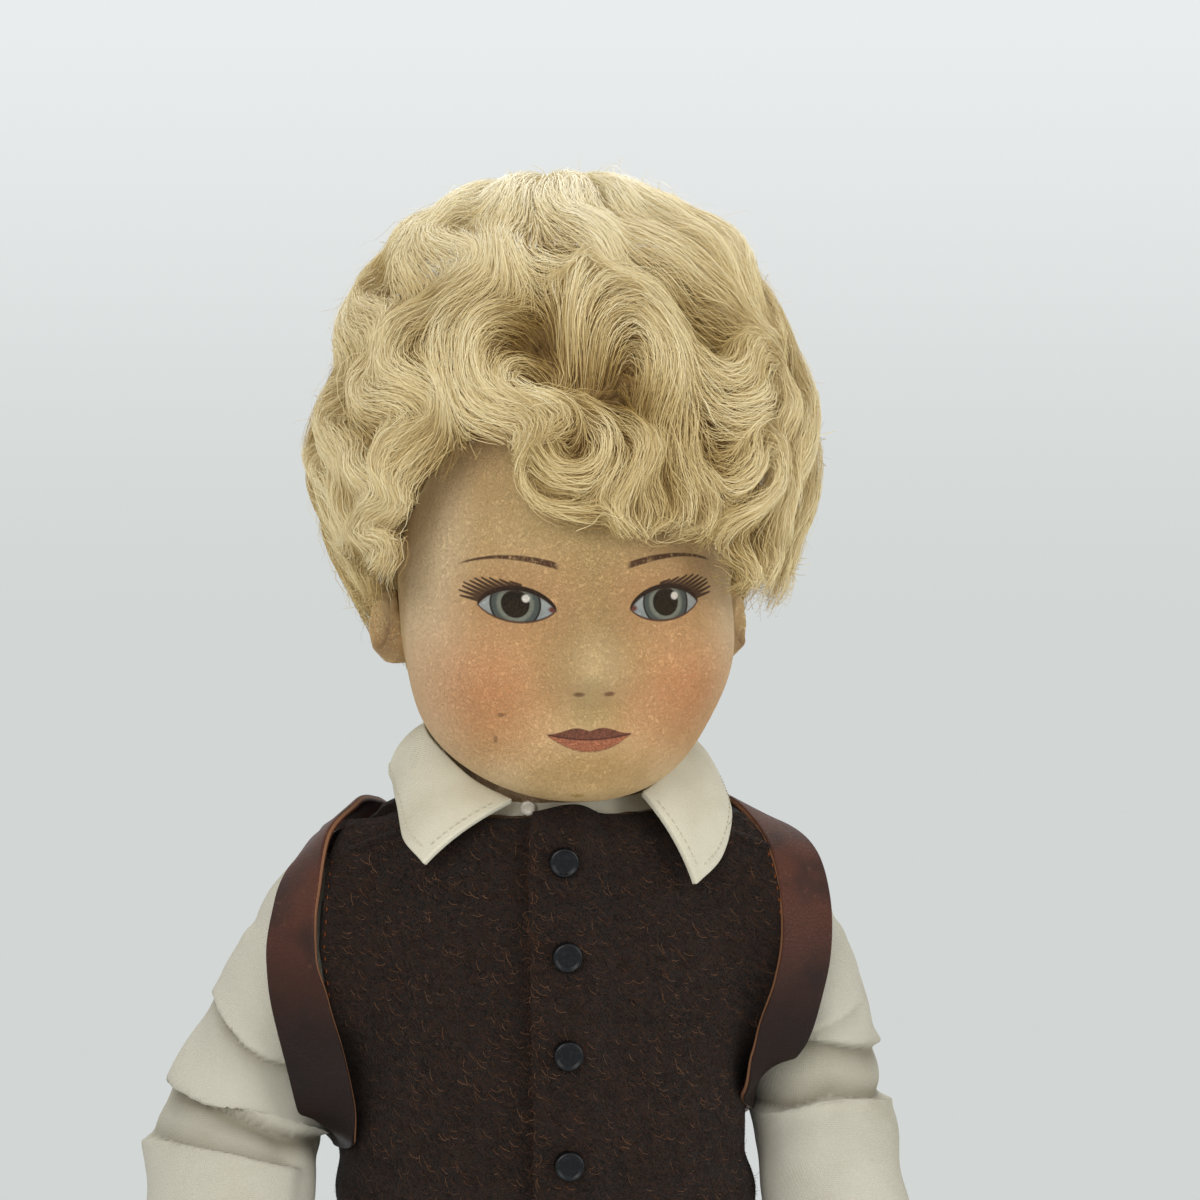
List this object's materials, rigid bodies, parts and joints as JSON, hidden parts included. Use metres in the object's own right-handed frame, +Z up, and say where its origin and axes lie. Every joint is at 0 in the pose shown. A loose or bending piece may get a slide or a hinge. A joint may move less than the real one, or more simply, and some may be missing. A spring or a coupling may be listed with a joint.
{
  "type": "jointed felt doll",
  "caption": "Standing boy doll of stuffed felt with disc-jointed head, arms and legs, curly mohair wig, cotton shirt, felt waistcoat and breeches, leather shoes and a leather satchel.",
  "frame": {"origin": "on the floor under the middle of the standing doll's box", "axes": "+Z up, the doll looks along -Y, its right side is at -X"},
  "size_m": [0.1454, 0.112, 0.4399],
  "materials": {
    "skin_felt": "matte",
    "mohair": "satin",
    "shirt_cotton": "matte",
    "vest_felt": "matte",
    "breeches_felt": "matte",
    "stocking_knit": "matte",
    "strap_leather": "satin",
    "shoe_leather": "satin",
    "sole_leather": "matte",
    "button_gloss": "gloss",
    "shell_button": "gloss",
    "hardboard": "matte",
    "pin_steel": "satin",
    "stud_brass": "satin",
    "filling": "matte"
  },
  "bodies": {
    "torso": {"torso": "skin_felt", "neck_disc_body": "hardboard", "neck_pin": "pin_steel", "shoulder_right_disc_body": "hardboard", "shoulder_right_pin": "pin_steel", "shoulder_left_disc_body": "hardboard", "shoulder_left_pin": "pin_steel", "hip_right_disc_body": "hardboard", "hip_right_pin": "pin_steel", "hip_left_disc_body": "hardboard", "hip_left_pin": "pin_steel", "shirt_body": "shirt_cotton", "collar_stand": "shirt_cotton", "collar_leaf": "shirt_cotton", "shirt_button": "shell_button", "vest_right_front": "vest_felt", "vest_left_front": "vest_felt", "vest_back": "vest_felt", "vest_button_1": "button_gloss", "vest_button_2": "button_gloss", "vest_button_3": "button_gloss", "vest_button_4": "button_gloss", "breeches_seat": "breeches_felt", "satchel_body": "strap_leather", "satchel_filling": "filling", "satchel_flap": "strap_leather", "satchel_tab": "strap_leather", "satchel_stud": "stud_brass", "strap_right": "strap_leather", "strap_left": "strap_leather"},
    "head": {"head": "skin_felt", "ear_right": "skin_felt", "ear_left": "skin_felt", "wig": "mohair", "neck_disc_limb": "hardboard"},
    "arm_right": {"arm_right": "skin_felt", "sleeve_right": "shirt_cotton", "cuff_right": "shirt_cotton", "cuff_button_right": "shell_button", "shoulder_right_disc_limb": "hardboard"},
    "arm_left": {"arm_left": "skin_felt", "sleeve_left": "shirt_cotton", "cuff_left": "shirt_cotton", "cuff_button_left": "shell_button", "shoulder_left_disc_limb": "hardboard"},
    "leg_right": {"leg_right": "skin_felt", "breeches_right": "breeches_felt", "stocking_right": "stocking_knit", "shoe_upper_right": "shoe_leather", "shoe_sole_right": "sole_leather", "hip_right_disc_limb": "hardboard"},
    "leg_left": {"leg_left": "skin_felt", "breeches_left": "breeches_felt", "stocking_left": "stocking_knit", "shoe_upper_left": "shoe_leather", "shoe_sole_left": "sole_leather", "hip_left_disc_limb": "hardboard"}
  },
  "joints": [
    {"name": "head_turn", "type": "hinge", "parent": "torso", "child": "head", "pos_m": [0.00261, -0.00136, 0.32], "axis": [0, 0, 1], "range_deg": [-27, 27]},
    {"name": "shoulder_right_swing", "type": "hinge", "parent": "torso", "child": "arm_right", "pos_m": [-0.03089, -0.00136, 0.296], "axis": [-1, 0, 0], "range_deg": [-35, 110], "deforming": ["strap_right"]},
    {"name": "shoulder_left_swing", "type": "hinge", "parent": "torso", "child": "arm_left", "pos_m": [0.03611, -0.00136, 0.296], "axis": [-1, 0, 0], "range_deg": [-35, 110], "deforming": ["strap_left"]},
    {"name": "hip_right_swing", "type": "hinge", "parent": "torso", "child": "leg_right", "pos_m": [-0.00539, -0.00136, 0.186], "axis": [-1, 0, 0], "range_deg": [-15, 90]},
    {"name": "hip_left_swing", "type": "hinge", "parent": "torso", "child": "leg_left", "pos_m": [0.01061, -0.00136, 0.186], "axis": [-1, 0, 0], "range_deg": [-15, 90]}
  ]
}
